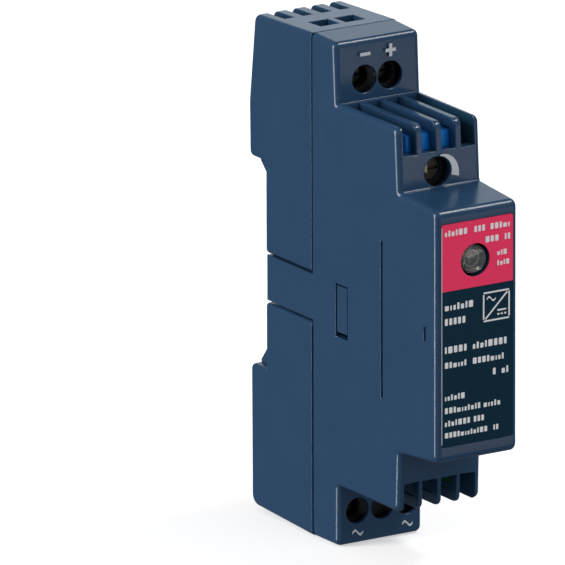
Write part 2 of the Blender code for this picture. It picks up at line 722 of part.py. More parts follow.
def transformer():
    """Two E cores facing each other, the bobbin on their middle legs and its winding."""
    middle, depth = -31.0, (-34.0, -28.0)
    left, centre, right = (-6.5, -5.1), (-2.6, 0.2), (2.7, PART_X)
    for name, side in (("transformer_core_upper", 1), ("transformer_core_lower", -1)):
        foot, web, top = [side * z for z in (0.05, 5.0, 6.6)]
        outline = [
            (left[0], top), (left[0], foot), (left[1], foot), (left[1], web),
            (centre[0], web), (centre[0], foot), (centre[1], foot), (centre[1], web),
            (right[0], web), (right[0], foot), (right[1], foot), (right[1], top),
        ]
        as_part(prism(name, outline, depth, "Y"), name, "ferrite")
    hole = box("bobbin_hole", (-2.75, 0.35), (depth[0] - 0.15, depth[1] + 0.15), (-8, 8))
    bobbin = box("bobbin", (-3.2, 0.8), (depth[0] - 0.7, depth[1] + 0.7), (-4.85, 4.85))
    for name, z in (("bobbin_flange_low", (-4.85, -4.15)), ("bobbin_flange_high", (4.15, 4.85))):
        join(bobbin, box(name, (-4.95, 2.55), (middle - 5.6, middle + 5.6), z))
    as_part(cut(bobbin, hole), "transformer_bobbin", "bobbin")
    winding = round_rims(box("winding", (-4.8, 2.4), (middle - 5.2, middle + 5.2), (-4.0, 4.0)), 0.9, 2)
    inner = box("winding_hole", (-3.3, 0.9), (depth[0] - 0.8, depth[1] + 0.8), (-6, 6))
    as_part(cut(winding, inner), "transformer_winding", "tape")


def disc(name, y, z, radius, finish):
    """A coated disc standing on the board, facing front."""
    piece = rod(name, (PART_X - radius, z), radius, y, "Y", 24)
    return as_part(round_rims(piece, 0.9, 2), name, finish, smooth=True)


def drum(name, centre, radius, x, finish, wire):
    """A wound drum core on the board: the core's flanges, and its winding as a sleeve."""
    core = rod(name, centre, radius, x, "X", 24)
    waist = rod(name + "_waist", centre, radius + 1, (x[0] + 1.3, x[1] - 1.3), "X", 24)
    neck = rod(name + "_neck", centre, radius * 0.5, (x[0] + 1, x[1] - 1), "X", 24)
    as_part(cut(core, cut(waist, neck)), name + "_core", finish, smooth=True)
    sleeve = rod(name + "_wire", centre, radius - 0.5, (x[0] + 1.4, x[1] - 1.4), "X", 24)
    cut(sleeve, rod(name + "_bore", centre, radius * 0.5 + 0.1, (x[0], x[1]), "X", 24))
    as_part(sleeve, name + "_winding", wire, smooth=True)


def chip(name, y, z, height, finish="epoxy"):
    piece = round_rims(box(name, (PART_X - height, PART_X), y, z), 0.25, 1)
    return as_part(piece, name, finish)


def indicator():
    """A 5 mm lamp behind the panel hole, and its two leads."""
    tip, rim = -53.95, -46.4
    steps = 6
    dome = [
        (LED_RADIUS * math.sin(a), LED_DOME * (1 - math.cos(a)))
        for a in (math.pi / 2 * k / steps for k in range(steps + 1))
    ]
    length = rim - tip
    flange = LED_FLANGE_RADIUS
    profile = [*dome, (LED_RADIUS, length - 1), (flange, length - 1), (flange, length), (0, length)]
    turned("indicator_lamp", profile, (LED_X, LED_Z), tip, "lens", steps=24)
    for name, x, back in (("anode", 0.87, -43.0), ("cathode", -1.67, -41.8)):
        name = "indicator_lead_" + name
        wide, high = (x - 0.25, x + 0.25), (LED_Z - 0.25, LED_Z + 0.25)
        lead = box(name, wide, (rim + GAP, back), high)
        join(lead, box(name + "_bend", (wide[0], PART_X + 0.1), (back - 0.5, back), high))
        as_part(lead, name, "tin")


def trimmer():
    """The blue body behind the top grille, with the rotor that a screwdriver turns through the panel."""
    front, back = -39.7, -35.0
    body = round_rims(
        box("trimmer", (TRIMMER_X - 4.75, PART_X), (front, back), (TRIMMER_Z - 4.75, 31.9)), 0.4, 2
    )
    cut(body, rod("trimmer_well", (TRIMMER_X, TRIMMER_Z), 2.3, (front - 1, front + 2.2)))
    as_part(body, "trimmer_body", "trimmer")
    profile = [(0, 0), (1.9, 0), (2.1, 0.2), (2.1, 2.0), (0, 2.0)]
    rotor = turned("trimmer_rotor", profile, (TRIMMER_X, TRIMMER_Z), front + 0.1, "rotor")
    cut(rotor, box_at_origin("trimmer_slot", (3.4, 0.6, 1.4), (TRIMMER_X, front + 0.1, TRIMMER_Z)))


def electronics():
    boards()
    transformer()
    capacitor("bulk_capacitor", -30.5, (-29.8, -14.0), 5.0, "sleeve_black")
    capacitor("output_capacitor_a", -24.6, (9.5, 21.0), 4.0, "sleeve_blue")
    capacitor("output_capacitor_b", -33.6, (8.6, 19.8), 4.0, "sleeve_blue")
    disc("surge_absorber", (-14.6, -11.6), -11.2, 3.6, "disc_blue")
    disc("safety_capacitor", (-15.3, -12.0), 8.6, 3.8, "disc_blue")
    drum("line_choke", (-19.5, -27.2), 4.0, (-6.0, PART_X), "ferrite", "copper")
    drum("output_choke", (-15.0, 24.2), 3.4, (-4.6, PART_X), "ferrite", "copper")
    chip("line_capacitor", (-24.3, -12.3), (-22.2, -16.4), 9.8, "film")
    chip("bridge_rectifier", (-46.4, -40.4), (-19.2, -11.4), 2.6)
    chip("controller", (-22.6, -16.2), (-14.2, -4.8), 3.4)
    chip("optocoupler", (-22.6, -16.2), (-2.3, 2.4), 3.5)
    as_part(rod("fuse", (PART_X - 1.9, -28.0), 1.8, (-14.6, -8.6), "Y", 20), "line_fuse", "film", True)
    as_part(rod("diode", (PART_X - 2.6, -45.4), 2.4, (-8.6, 0.4), "Z", 20), "output_diode", "epoxy", True)
    indicator()
    trimmer()


def main():
    global PARTS, CUTTERS
    clear_scene()
    PARTS = new_collection("din_rail_power_supply")
    CUTTERS = new_collection("cutters")
    front_cover()
    rear_base()
    rail_latch()
    front_label()
    coil("latch_spring", (0, -4.4), 1.75, 0.5, (-17.2, -5.0), 8, "steel")
    terminals()
    electronics()


main()
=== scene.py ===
"""Looks of the one-module DIN rail power supply.

Numbers are millimetres in the frame of the CAD: X runs along the rail, -Y is the front, +Z is up.
Angles given as numbers are degrees.
"""

import json
import math

import bmesh
import bpy
from mathutils import Matrix, Vector
from mathutils.bvhtree import BVHTree


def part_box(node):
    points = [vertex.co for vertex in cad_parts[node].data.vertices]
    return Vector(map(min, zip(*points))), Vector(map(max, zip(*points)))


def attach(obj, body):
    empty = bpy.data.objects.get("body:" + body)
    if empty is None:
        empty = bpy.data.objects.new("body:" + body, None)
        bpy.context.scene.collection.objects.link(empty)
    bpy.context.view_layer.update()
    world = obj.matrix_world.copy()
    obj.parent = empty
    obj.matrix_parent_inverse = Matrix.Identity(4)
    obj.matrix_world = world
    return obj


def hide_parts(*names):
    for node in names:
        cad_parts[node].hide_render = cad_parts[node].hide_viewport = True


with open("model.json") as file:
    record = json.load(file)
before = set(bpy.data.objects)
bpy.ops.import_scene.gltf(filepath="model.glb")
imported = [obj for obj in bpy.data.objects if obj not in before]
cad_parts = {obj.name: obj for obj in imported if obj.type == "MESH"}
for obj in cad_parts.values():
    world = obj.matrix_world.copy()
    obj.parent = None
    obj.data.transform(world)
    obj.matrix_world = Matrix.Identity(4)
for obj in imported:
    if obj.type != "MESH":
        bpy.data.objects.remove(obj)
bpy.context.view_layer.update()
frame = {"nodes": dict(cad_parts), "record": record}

MM = 0.001
SCENE = bpy.context.scene.collection


def millimetres(node):
    """The lowest and highest corners of a CAD node."""
    low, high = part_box(node)
    return low / MM, high / MM


# ---------------------------------------------------------------- dimensions
# What a node's box gives comes from the frame; the rest repeats the CAD's own dimensions.

COVER_LOW, COVER_HIGH = millimetres("front_cover")
LABEL_LOW, LABEL_HIGH = millimetres("front_label")
LAMP_LOW, LAMP_HIGH = millimetres("indicator_lamp")
ROTOR_LOW, ROTOR_HIGH = millimetres("trimmer_rotor")

HALF_WIDTH = COVER_HIGH.x
HALF_HEIGHT = COVER_HIGH.z
FRONT_Y = COVER_LOW.y
REAR_Y = 5.1
SEAM_Y = -15.2
SEAM_GAP, LATCH_SEAM_GAP = 0.3, 0.4
AHEAD = SEAM_Y - 5                    # the rear mouldings start here, before the seam is cut
DRAFT = 0.012                         # how far each flank leans in, per millimetre
GRILLE_Y = FRONT_Y + 11.6
TERMINAL_Y = FRONT_Y + 31.0
GRILLE_TOP = 34.2
GRILLE_FOOT = 28.5
TERMINAL_TOP_FRONT = 44.95
BLOCK_TOP, BLOCK_BOTTOM = 22.05, -22.7
WALL, GRILLE_WALL = 1.3, 1.9
MOUTH_WALL = 0.5                      # the wall is thinner round the holes
RIM_RADIUS, REAR_RIM_RADIUS = 1.05, 0.7
CUT_RADIUS, REAR_CUT_RADIUS = 0.26, 0.12    # the most that the edges of slots and holes are rounded
SKIN_TOLERANCE = 0.03                 # an edge this near the outer skin lies on it
SHOULDER, RAIL_EDGE, FLANGE_GAP, HOOK_HALF_WIDTH = 18.7, 17.7, 1.35, 6.6
BAND_TOP, BAND_BOTTOM, BAND_GAP, BAND_REAR_Y = 2.1, -6.1, 0.25, -0.57
LATCH_TOP = -6.6
LAP_X, LAP_ROOT_X, LAP_Y = (6.35, 7.15), (6.35, 7.9), (SEAM_Y - 3.3, SEAM_Y + 4)
BASE_LAP_Z, LATCH_LAP_Z = (14, 32), (-29.2, -12)
WINDOW_Y, WINDOW_Z = (-26.3, -22.6), (-7.3, 2.2)
SPRING_POST_X, SPRING_POST_Y = (-1.6, 1.6), (-7.0, -0.6)


def pole_centre(node):
    """The X and Z of a screw's axis."""
    low, high = millimetres(node)
    middle = (low + high) / 2
    return middle.x, middle.z


OUTPUT_POLES = [pole_centre("output_screw_minus"), pole_centre("output_screw_plus")]
INPUT_POLES = [pole_centre("input_screw_n"), pole_centre("input_screw_l")]
INPUT_SPARE = (0.42, INPUT_POLES[0][1])
OUTPUT_HOLE_RADIUS, INPUT_HOLE_RADIUS = 2.45, 2.3
HOLE_RELIEF, TRIMMER_RELIEF = 0.45, 0.5    # how much wider a hole is behind its mouth
WIRE_Y, WIRE_HALF_WIDTH = (-12.0, -7.9), 1.95
TOP_SLOT_PITCH, TOP_SLOT_WIDTH = 3.97, 2.65
BOTTOM_SLOT_PITCH, BOTTOM_SLOT_WIDTH = 3.85, 3.05
REAR_SLOT_PITCH, REAR_SLOT_WIDTH = 3.8, 1.95
SLOTS = 4
TOP_SLOT_Z, BOTTOM_SLOT_Z = (29.15, 37), (-37, -29.4)
TOP_SLOT_END, BOTTOM_SLOT_END = TERMINAL_Y - 0.9, TERMINAL_Y - 1.1    # just short of the terminal faces
SLIT_X, SLIT_Y, SLIT_Z = (7.9, 10), (-37.25, -36.75), (-14.9, 13.2)
POCKET_Y, POCKET_Z, POCKET_DEPTH = (-51.6, -50.0), (-1.5, 1.0), 0.35

# How far the cutters reach: through each front wall, and past the object on every side
TERMINAL_CUT_Y, GRILLE_CUT_Y, BLOCK_CUT_Y = (-25, -18), (-46, -38), (-56, -50)
ROOF_CUT_Z, FLOOR_CUT_Z = (42, 47), (-47, -42)
ACROSS, BEHIND, FAR = (-12, 12), 10, 60
SIDES = (("r", 1), ("l", -1))         # the end of a flank's names, and its sign along X

LABEL_RECESS, LABEL_CORNER, LABEL_GAP = 0.25, 0.5, 0.05
LABEL_BORDER_Z = 7.85                 # raspberry above, navy below
PRINT_PROUD, PRINT_SUNK = 0.015, 0.02    # how far a print stands out of its surface, and reaches into it
LAMP_X, LAMP_Z = (LAMP_LOW.x + LAMP_HIGH.x) / 2, (LAMP_LOW.z + LAMP_HIGH.z) / 2
LAMP_HOLE_RADIUS, LAMP_RADIUS = 2.95, 2.5
TRIMMER_X, TRIMMER_Z = (ROTOR_LOW.x + ROTOR_HIGH.x) / 2, (ROTOR_LOW.z + ROTOR_HIGH.z) / 2
TRIMMER_HOLE_RADIUS = 2.6
FLOOR_GAP = 0.15


# ---------------------------------------------------------------- materials


class Finish:
    """A Principled material, with short ways to wire noise into it."""

    def __init__(self, name):
        self.material = bpy.data.materials.new(name)
        self.material.use_nodes = True
        self.tree = self.material.node_tree
        self.shader = self.tree.nodes["Principled BSDF"]
        self.coordinates = self.node("ShaderNodeTexCoord").outputs["Object"]

    def node(self, kind, **settings):
        """Adds a node, with its properties set by name."""
        made = self.tree.nodes.new(kind)
        for key, value in settings.items():
            setattr(made, key, value)
        return made

    def link(self, source, target):
        self.tree.links.new(source, target)

    def set(self, **values):
        """Sets the shader's own inputs; a name has underscores for an input's spaces."""
        for key, value in values.items():
            self.shader.inputs[key.replace("_", " ")].default_value = value

    def noise(self, size, detail=3.0, stretch=(1, 1, 1)):
        """Noise whose features are about size mm across, stretched along some axes."""
        mapping = self.node("ShaderNodeMapping")
        mapping.inputs["Scale"].default_value = [1 / s for s in stretch]
        self.link(self.coordinates, mapping.inputs["Vector"])
        texture = self.node("ShaderNodeTexNoise")
        texture.inputs["Scale"].default_value = 1 / (size * MM)
        texture.inputs["Detail"].default_value = detail
        self.link(mapping.outputs["Vector"], texture.inputs["Vector"])
        return texture.outputs["Fac"]

    def ramp(self, factor, low, high, limits=(0.3, 0.7)):
        """Maps a factor onto two colours or two numbers."""
        made = self.node("ShaderNodeValToRGB")
        for element, place, value in zip(made.color_ramp.elements, limits, (low, high)):
            element.position = place
            element.color = (*value, 1) if hasattr(value, "__len__") else (value, value, value, 1)
        self.link(factor, made.inputs["Fac"])
        return made.outputs["Color"]

    def colour(self, low, high, size, stretch=(1, 1, 1)):
        """Mottles the colour between two, in spots of about size mm."""
        self.link(self.ramp(self.noise(size, stretch=stretch), low, high), self.shader.inputs["Base Color"])

    def roughness(self, low, high, size, stretch=(1, 1, 1)):
        """Varies the roughness between two values, in spots of about size mm."""
        self.link(self.ramp(self.noise(size, stretch=stretch), low, high), self.shader.inputs["Roughness"])

    def bump(self, heights):
        """heights: (factor, height in mm) pairs, from the coarsest down."""
        normal = None
        for factor, height in heights:
            made = self.node("ShaderNodeBump")
            made.inputs["Strength"].default_value = 1.0
            made.inputs["Distance"].default_value = height * MM
            self.link(factor, made.inputs["Height"])
            if normal:
                self.link(normal, made.inputs["Normal"])
            normal = made.outputs["Normal"]
        self.link(normal, self.shader.inputs["Normal"])


def case_plastic():
    """Semi-gloss moulded plastic: slow waves of the moulding, and a fine grain."""
    made = Finish("case_plastic")
    made.colour((0.0175, 0.054, 0.116), (0.0200, 0.058, 0.124), 9)
    made.roughness(0.22, 0.27, 2.5)
    made.bump([(made.noise(16, 1), 0.02), (made.noise(0.35, 1), 0.0006)])
    made.set(IOR=1.53)
    return made.material


def print_ink(name, colour):
    """Screen-printed ink, a little uneven."""
    made = Finish(name)
    made.colour([c * 0.93 for c in colour], colour, 0.6)
    made.roughness(0.42, 0.55, 0.3)
    made.bump([(made.noise(0.12, 2), 0.001)])
    return made.material


def label_foil(top, bottom, border_z):
    """A printed foil: one colour above a height and another below it."""
    made = Finish("label_foil")
    split = made.node("ShaderNodeSeparateXYZ")
    made.link(made.coordinates, split.inputs["Vector"])
    above = made.node("ShaderNodeMath", operation="GREATER_THAN")
    above.inputs[1].default_value = border_z * MM
    made.link(split.outputs["Z"], above.inputs[0])
    mix = made.node("ShaderNodeMix", data_type="RGBA")
    made.link(above.outputs["Value"], mix.inputs["Factor"])
    fine = made.noise(0.5)
    first, second, result = mix.inputs[6], mix.inputs[7], mix.outputs[2]    # a Mix node's colour sockets
    made.link(made.ramp(fine, [c * 0.95 for c in bottom], bottom), first)
    made.link(made.ramp(fine, [c * 0.95 for c in top], top), second)
    made.link(result, made.shader.inputs["Base Color"])
    made.roughness(0.50, 0.58, 1.5)
    made.bump([(made.noise(0.25, 2), 0.0008)])
    made.set(Specular_IOR_Level=0.12)
    return made.material


def moulded(name, colour, roughness, grain=0.15, depth=0.002):
    """Plastic, lacquer or ceramic, with a grain of a size and a depth."""
    made = Finish(name)
    made.colour([c * 0.85 for c in colour], colour, 1.6)
    made.roughness(roughness - 0.06, roughness + 0.06, 0.8)
    made.bump([(made.noise(grain, 2), depth)])
    return made.material


def metal(name, colour, roughness, stretch=(1, 1, 1)):
    """Plated or plain metal; the stretch makes its marks longer or shorter along each axis."""
    made = Finish(name)
    made.colour([c * 0.8 for c in colour], colour, 0.7, stretch)
    made.roughness(roughness - 0.08, roughness + 0.1, 0.35, stretch)
    made.bump([(made.noise(0.12, 2, stretch), 0.002)])
    made.set(Metallic=1.0)
    return made.material


def wound(name, colour, pitch, axis, metallic):
    """Turns of wire or tape, as ridges across an axis, with painted shade darkening the grooves between
    them.
    """
    made = Finish(name)
    bands = made.node("ShaderNodeTexWave", wave_type="BANDS", bands_direction=axis, wave_profile="SIN")
    bands.inputs["Scale"].default_value = math.pi / 10 / (pitch * MM)    # scale 1 repeats every pi / 10
    bands.inputs["Distortion"].default_value = 0.15
    made.link(made.coordinates, bands.inputs["Vector"])
    # the colour darkens to 0.45 in the grooves between turns: painted shade
    made.link(
        made.ramp(bands.outputs["Fac"], [c * 0.45 for c in colour], colour, (0.1, 0.6)),
        made.shader.inputs["Base Color"],
    )
    made.roughness(0.25, 0.4, 0.5)
    made.bump([(bands.outputs["Fac"], pitch * 0.3)])
    made.set(Metallic=metallic)
    return made.material


def clear_epoxy():
    """The lamp's body: clear, with slight waves."""
    made = Finish("clear_epoxy")
    made.colour((0.80, 0.86, 0.83), (0.86, 0.90, 0.87), 1.5)
    made.roughness(0.02, 0.07, 0.8)
    made.bump([(made.noise(2.5, 1), 0.004)])
    made.set(Transmission_Weight=0.92, IOR=1.52)
    return made.material


MATERIALS = {
    "case": case_plastic(),
    # pale ink for the prints, also used for the painted highlight along the label's left edge
    "ink": print_ink("pale_ink_and_highlight", (0.62, 0.66, 0.70)),
    "white_ink": print_ink("white_ink", (0.85, 0.87, 0.90)),
    "label": label_foil((0.98, 0.050, 0.150), (0.0030, 0.028, 0.052), LABEL_BORDER_Z),
    "steel": metal("zinc_steel", (0.66, 0.67, 0.66), 0.3, (1, 0.4, 1)),
    # the screws are much darker than the zinc steel: painted shade for the deep holes they sit in
    "screw": metal("dark_screw", (0.26, 0.21, 0.17), 0.42, (1, 0.4, 1)),
    "brass": metal("brass", (0.72, 0.52, 0.26), 0.3),
    "tin": metal("tinned", (0.74, 0.74, 0.72), 0.28),
    "terminal": moulded("terminal_plastic", (0.018, 0.018, 0.020), 0.5),
    "board": moulded("solder_mask", (0.010, 0.24, 0.08), 0.32, 0.5),
    "lens": clear_epoxy(),
    "trimmer": moulded("trimmer_plastic", (0.010, 0.26, 0.92), 0.3),
    "rotor": moulded("rotor_plastic", (0.045, 0.034, 0.026), 0.4),
    "lamp_metal": metal("lamp_metal", (0.17, 0.165, 0.15), 0.45),
    "pointer": moulded("pointer_plastic", (0.52, 0.44, 0.32), 0.4),
    # black for the plate round the trimmer's rotor: painted shade inside its hole
    "trimmer_shade": moulded("trimmer_shade_black", (0.012, 0.012, 0.014), 0.5),
    "ferrite": moulded("ferrite", (0.045, 0.045, 0.05), 0.6, 0.1, 0.006),
    "bobbin": moulded("bobbin_plastic", (0.03, 0.03, 0.032), 0.5),
    "tape": wound("yellow_tape", (0.78, 0.56, 0.05), 2.6, "Z", 0.0),
    "sleeve_black": moulded("black_sleeve", (0.014, 0.014, 0.018), 0.3, 0.6, 0.004),
    "sleeve_blue": moulded("blue_sleeve", (0.012, 0.09, 0.40), 0.3, 0.6, 0.004),
    "film": moulded("grey_case", (0.60, 0.58, 0.50), 0.4),
    "disc_blue": moulded("blue_lacquer", (0.015, 0.15, 0.46), 0.28, 0.9, 0.02),
    "copper": wound("copper_wire", (0.78, 0.32, 0.12), 0.5, "X", 1.0),
    "epoxy": moulded("chip_epoxy", (0.02, 0.02, 0.021), 0.42, 0.1),
}


# ---------------------------------------------------------------- shapes


def new_object(name, bm):
    """Makes an object of a bmesh, with its faces pointing out."""
    bmesh.ops.recalc_face_normals(bm, faces=bm.faces)
    mesh = bpy.data.meshes.new(name)
    bm.to_mesh(mesh)
    bm.free()
    made = bpy.data.objects.new(name, mesh)
    SCENE.objects.link(made)
    return made


def box(name, x, y, z):
    """A box between pairs of coordinates."""
    bm = bmesh.new()
    bmesh.ops.create_cube(bm, size=1.0)
    low = Vector((min(x), min(y), min(z))) * MM
    high = Vector((max(x), max(y), max(z))) * MM
    shape = Matrix.Translation((low + high) / 2) @ Matrix.Diagonal((*(high - low), 1.0))
    bmesh.ops.transform(bm, matrix=shape, verts=bm.verts)
    return new_object(name, bm)


def rod(name, centre, radius, span):
    """A cylinder along Y; centre is its X and Z."""
    bm = bmesh.new()
    bmesh.ops.create_cone(
        bm,
        cap_ends=True,
        segments=64,
        radius1=radius * MM,
        radius2=radius * MM,
        depth=abs(span[1] - span[0]) * MM,
    )
    middle = Vector((centre[0], sum(span) / 2, centre[1])) * MM
    turn = Matrix.Rotation(math.radians(-90), 4, "X")
    bmesh.ops.transform(bm, matrix=Matrix.Translation(middle) @ turn, verts=bm.verts)
    return new_object(name, bm)


def rounded(corners, steps=8):
    """The outline through corners (a, b, radius); a corner with a radius becomes an arc."""
    outline = []
    for i, (a, b, radius) in enumerate(corners):
        here = Vector((a, b))
        if radius == 0:
            outline.append((a, b))
            continue
        before = (Vector(corners[i - 1][:2]) - here).normalized()
        after = (Vector(corners[(i + 1) % len(corners)][:2]) - here).normalized()
        half = before.angle(after) / 2
        reach = radius / math.tan(half)
        centre = here + (before + after).normalized() * (radius / math.sin(half))
        start, stop = here + before * reach - centre, here + after * reach - centre
        sweep = start.angle(stop)
        for k in range(steps + 1):
            share = k / steps
            point = centre + (
                start * math.sin((1 - share) * sweep) + stop * math.sin(share * sweep)
            ) / math.sin(sweep)
            outline.append(tuple(point))
    return outline


def rounded_rectangle(a, b, radius, steps=8):
    """The outline of a rectangle between two coordinates each way."""
    corners = [(a[0], b[0]), (a[1], b[0]), (a[1], b[1]), (a[0], b[1])]
    return rounded([(*corner, radius) for corner in corners], steps)


# How an outline's first, second and thickness directions lie in space
PLANES = {
    "X": Matrix(((0, 0, 1), (1, 0, 0), (0, 1, 0))),
    "Y": Matrix(((1, 0, 0), (0, 0, -1), (0, 1, 0))),
    "Z": Matrix(((1, 0, 0), (0, 1, 0), (0, 0, 1))),
}


def prism(name, outline, span, axis="X"):
    """An outline in the plane across the axis, given thickness along it."""
    return prisms(name, [outline], span, axis)


def prisms(name, outlines, span, axis="X"):
    """Several outlines side by side, in one mesh."""
    bm = bmesh.new()
    thickness = abs(span[1] - span[0]) * MM
    for outline in outlines:
        face = bm.faces.new([bm.verts.new((a * MM, b * MM, -thickness / 2)) for a, b in outline])
        raised = bmesh.ops.extrude_face_region(bm, geom=[face])["geom"]
        up = [v for v in raised if isinstance(v, bmesh.types.BMVert)]
        bmesh.ops.translate(bm, verts=up, vec=(0, 0, thickness))
    shift = Vector((0, 0, 0))
    shift["XYZ".index(axis)] = sum(span) / 2 * MM
    bmesh.ops.transform(bm, matrix=Matrix.Translation(shift) @ PLANES[axis].to_4x4(), verts=bm.verts)
    return new_object(name, bm)


def draft(obj):
    """Leans the flanks in towards the front, from the seam on."""
    bm = bmesh.new()
    bm.from_mesh(obj.data)
    bmesh.ops.bisect_plane(
        bm,
        geom=bm.verts[:] + bm.edges[:] + bm.faces[:],
        dist=1e-5,
        plane_co=(0, SEAM_Y * MM, 0),
        plane_no=(0, 1, 0),
    )
    for vertex in bm.verts:
        ahead = max(0.0, SEAM_Y * MM - vertex.co.y)
        vertex.co.x *= 1 - DRAFT * ahead / (HALF_WIDTH * MM)
    bm.to_mesh(obj.data)
    bm.free()
    return obj


def settle(obj):
    """Replaces the mesh by what its modifiers make of it."""
    graph = bpy.context.evaluated_depsgraph_get()
    mesh = bpy.data.meshes.new_from_object(obj.evaluated_get(graph))
    obj.modifiers.clear()
    obj.data = mesh
    return obj


def evenly(place):
    """The share of a radius that every edge takes, wherever it lies."""
    return 1.0


def round_edges(obj, radius, segments=3, angle=38, share=evenly):
    """Rounds each edge sharper than an angle to radius * share(place); share 0 leaves it sharp."""
    bm = bmesh.new()
    bm.from_mesh(obj.data)
    # Facets that cuts leave in one plane are merged first, because thin ones distort the rounding
    bmesh.ops.dissolve_limit(bm, angle_limit=math.radians(0.4), verts=bm.verts, edges=bm.edges)
    weights = bm.edges.layers.float.new("bevel_weight_edge")
    for edge in bm.edges:
        if len(edge.link_faces) == 2 and edge.calc_face_angle(0) > math.radians(angle):
            edge[weights] = share((edge.verts[0].co + edge.verts[1].co) / 2)
    bm.to_mesh(obj.data)
    bm.free()
    modifier = obj.modifiers.new("rounding", "BEVEL")
    modifier.width = radius * MM
    modifier.segments = segments
    modifier.limit_method = "WEIGHT"
    modifier.use_clamp_overlap = False
    settle(obj)
    # A later rounding would otherwise mix these weights with its own
    obj.data.attributes.remove(obj.data.attributes["bevel_weight_edge"])
    return obj


def combine(obj, others, operation):
    """Cuts or joins the others one after the other, and removes them."""
    for other in others:
        modifier = obj.modifiers.new(other.name, "BOOLEAN")
        modifier.operation = operation
        modifier.object = other
        modifier.solver = "EXACT"
    settle(obj)
    for other in others:
        bpy.data.objects.remove(other)
    return obj


def cut(obj, *cutters):
    return combine(obj, cutters, "DIFFERENCE")


def join(obj, *others):
    return combine(obj, others, "UNION")


def flank_pair(name, x, y, z):
    """The same box on both flanks."""
    return [box(f"{name}_{side}", [sign * v for v in x], y, z) for side, sign in SIDES]


def surface(obj):
    """The skin of an object as a tree, to find which edges of a cut piece lie on it."""
    bm = bmesh.new()
    bm.from_mesh(obj.data)
    tree = BVHTree.FromBMesh(bm)
    bm.free()
    return tree


def soften(obj, skin, radius, share=evenly):
    """Rounds the sharp edges that lie on the outer skin."""

    def on_skin(place):
        distance = skin.find_nearest(place)[3]
        return share(place / MM) if distance < SKIN_TOLERANCE * MM else 0.0

    return round_edges(obj, radius, share=on_skin)


def finish_mesh(obj, sharp=35):
    """Shades an object smooth up to an angle, with flat faces kept flat beside rounded edges."""
    obj.data.shade_smooth()
    obj.data.set_sharp_from_angle(angle=math.radians(sharp))
    weighted = obj.modifiers.new("weighted_normals", "WEIGHTED_NORMAL")
    weighted.keep_sharp = True
    weighted.weight = 80
    return obj


def piece(obj, body, slot, material=None, replaces=()):
    """Gives a finished object its material, picked by its slot unless one is named, and its body, and hides
    the CAD nodes that it replaces.
    """
    obj.data.materials.clear()
    obj.data.materials.append(MATERIALS[material or slot])
    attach(obj, body)
    if replaces:
        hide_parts(*replaces)
    return obj


# ---------------------------------------------------------------- case


def shell(name, outline, hollow, rim):
    """A drafted, round-rimmed prism with a hollow inside; also the skin it had before the hollow."""
    outer = prism(name, outline, (-HALF_WIDTH, HALF_WIDTH))
    round_edges(draft(outer), rim, segments=6, angle=40)
    skin = surface(outer)
    inner = prism(name + "_hollow", hollow, (-HALF_WIDTH + WALL, HALF_WIDTH - WALL))
    return cut(outer, draft(inner)), skin


def slot_row(name, pitch, width, y, z):
    """A row of slots across the case."""
    centres = [pitch * (k - (SLOTS - 1) / 2) for k in range(SLOTS)]
    return [box(f"{name}_{k}", (x - width / 2, x + width / 2), y, z) for k, x in enumerate(centres)]


def wire_entries(poles, z):
    """A square hole for a wire behind each pole, through the roof or the floor."""
    sides = [(x - WIRE_HALF_WIDTH, x + WIRE_HALF_WIDTH) for x, _ in poles]
    return [box(f"wire_{k}", x, WIRE_Y, z) for k, x in enumerate(sides)]


def laps(name, seam, z):
    """A tongue inside the cover on each flank, and the root that ties it to the flank."""
    return [
        *flank_pair(name, LAP_X, LAP_Y, z),
        *flank_pair(name + "_root", LAP_ROOT_X, (seam + 0.3, LAP_Y[1]), z),
    ]


def flank_pockets():
    """A wedge on each side, from nothing near the front edge to its full depth at the rear."""
    flank = HALF_WIDTH - DRAFT * (SEAM_Y - POCKET_Y[0])
    outline = [
        (flank, POCKET_Y[0]), (flank + 1, POCKET_Y[0]),
        (flank + 1, POCKET_Y[1]), (flank - POCKET_DEPTH, POCKET_Y[1]),
    ]
    return [
        prism(f"pocket_{side}", [(sign * x, y) for x, y in outline], POCKET_Z, "Z")
        for side, sign in SIDES
    ]


def cover_rounding(place):
    """How round the cover's edges are: most on the ribs, at the trimmer and under the terminal holes."""
    plain, full, slot_end, sharp = 0.5, 1.0, 0.15, 0.0
    margin, ribs_half_span = 0.5, 7
    slot_end_y = TERMINAL_Y - 1.2     # the slots' rear ends lie behind this
    height = abs(place.z)
    if place.y < TERMINAL_Y - margin and height > GRILLE_FOOT:
        if place.y > slot_end_y:
            return slot_end
        return full if abs(place.x) < ribs_half_span else sharp
    if height > GRILLE_TOP:
        under_centre = (OUTPUT_POLES if place.z > 0 else INPUT_POLES)[0][1] - place.z
        return min(full, max(plain, plain + 0.4 * under_centre))
    if math.hypot(place.x - TRIMMER_X, place.z - TRIMMER_Z) < TRIMMER_HOLE_RADIUS + margin:
        return full
    return plain


